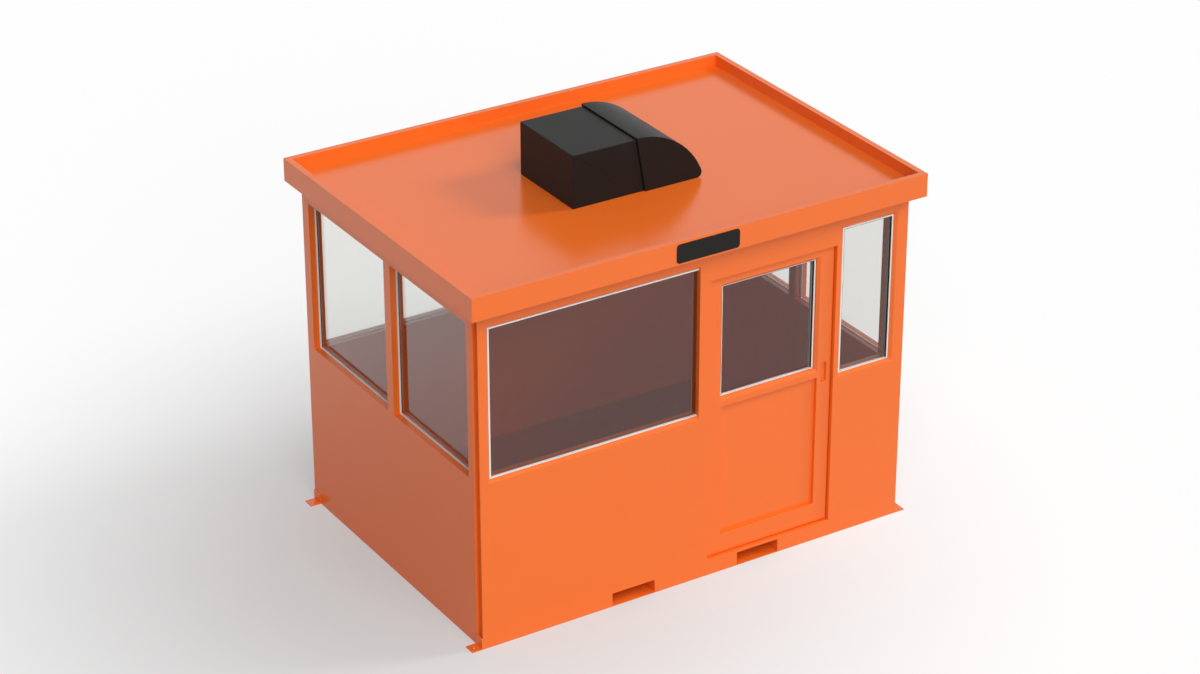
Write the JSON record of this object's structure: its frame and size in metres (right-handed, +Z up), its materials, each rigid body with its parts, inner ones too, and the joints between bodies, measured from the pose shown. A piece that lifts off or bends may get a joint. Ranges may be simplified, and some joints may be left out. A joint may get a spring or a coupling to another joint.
{
  "type": "security guard booth",
  "caption": "Orange steel guard booth with windows all round, one recessed door, a tray roof with a black hooded unit, fork pockets and anchor feet.",
  "frame": {"origin": "on the ground, at the centre of the booth's outline", "axes": "+X along the front wall to the right as seen from the front, +Y from the front to the back, +Z up"},
  "size_m": [3.15, 2.25, 2.635],
  "materials": {
    "orange_paint": "satin",
    "black_coat": "satin",
    "tinted_glass": "polished",
    "white_bead": "matte",
    "black_gasket": "matte",
    "floor_cover": "matte",
    "hinge_steel": "satin"
  },
  "bodies": {
    "booth": {"back_base_rails": "orange_paint", "back_wall_header": "orange_paint", "back_wall_mullion": "orange_paint", "back_wall_panel": "orange_paint", "back_window_frames": "white_bead", "back_window_glass": "tinted_glass", "door_hinges_post": "hinge_steel", "door_lintel": "orange_paint", "door_post_left": "orange_paint", "door_post_right": "orange_paint", "door_threshold": "orange_paint", "floor_plate": "floor_cover", "fork_pocket_left": "orange_paint", "fork_pocket_right": "orange_paint", "front_base_rails": "orange_paint", "front_header": "orange_paint", "front_panel_left": "orange_paint", "front_panel_right": "orange_paint", "front_post_left": "orange_paint", "front_post_right": "orange_paint", "front_window_frames": "white_bead", "front_window_glass": "tinted_glass", "left_feet": "orange_paint", "left_wall_header": "orange_paint", "left_wall_panel": "orange_paint", "left_wall_posts": "orange_paint", "left_window_frames": "white_bead", "left_window_glass": "tinted_glass", "right_feet": "orange_paint", "right_wall_header": "orange_paint", "right_wall_panel": "orange_paint", "right_wall_posts": "orange_paint", "right_window_frames": "white_bead", "right_window_glass": "tinted_glass", "roof_deck": "orange_paint", "roof_rim_back": "orange_paint", "roof_rim_front": "orange_paint", "roof_rim_left": "orange_paint", "roof_rim_right": "orange_paint", "roof_unit_hood": "black_coat", "roof_unit_housing": "black_coat"},
    "door": {"door_glass": "tinted_glass", "door_hinges_leaf": "hinge_steel", "door_leaf": "orange_paint", "door_window_frame": "white_bead"}
  },
  "joints": [
    {"name": "door_hinge", "type": "hinge", "parent": "booth", "child": "door", "pos_m": [0.084, -0.951, 1.05], "axis": [0, 0, 1], "range_deg": [0, 95]}
  ]
}
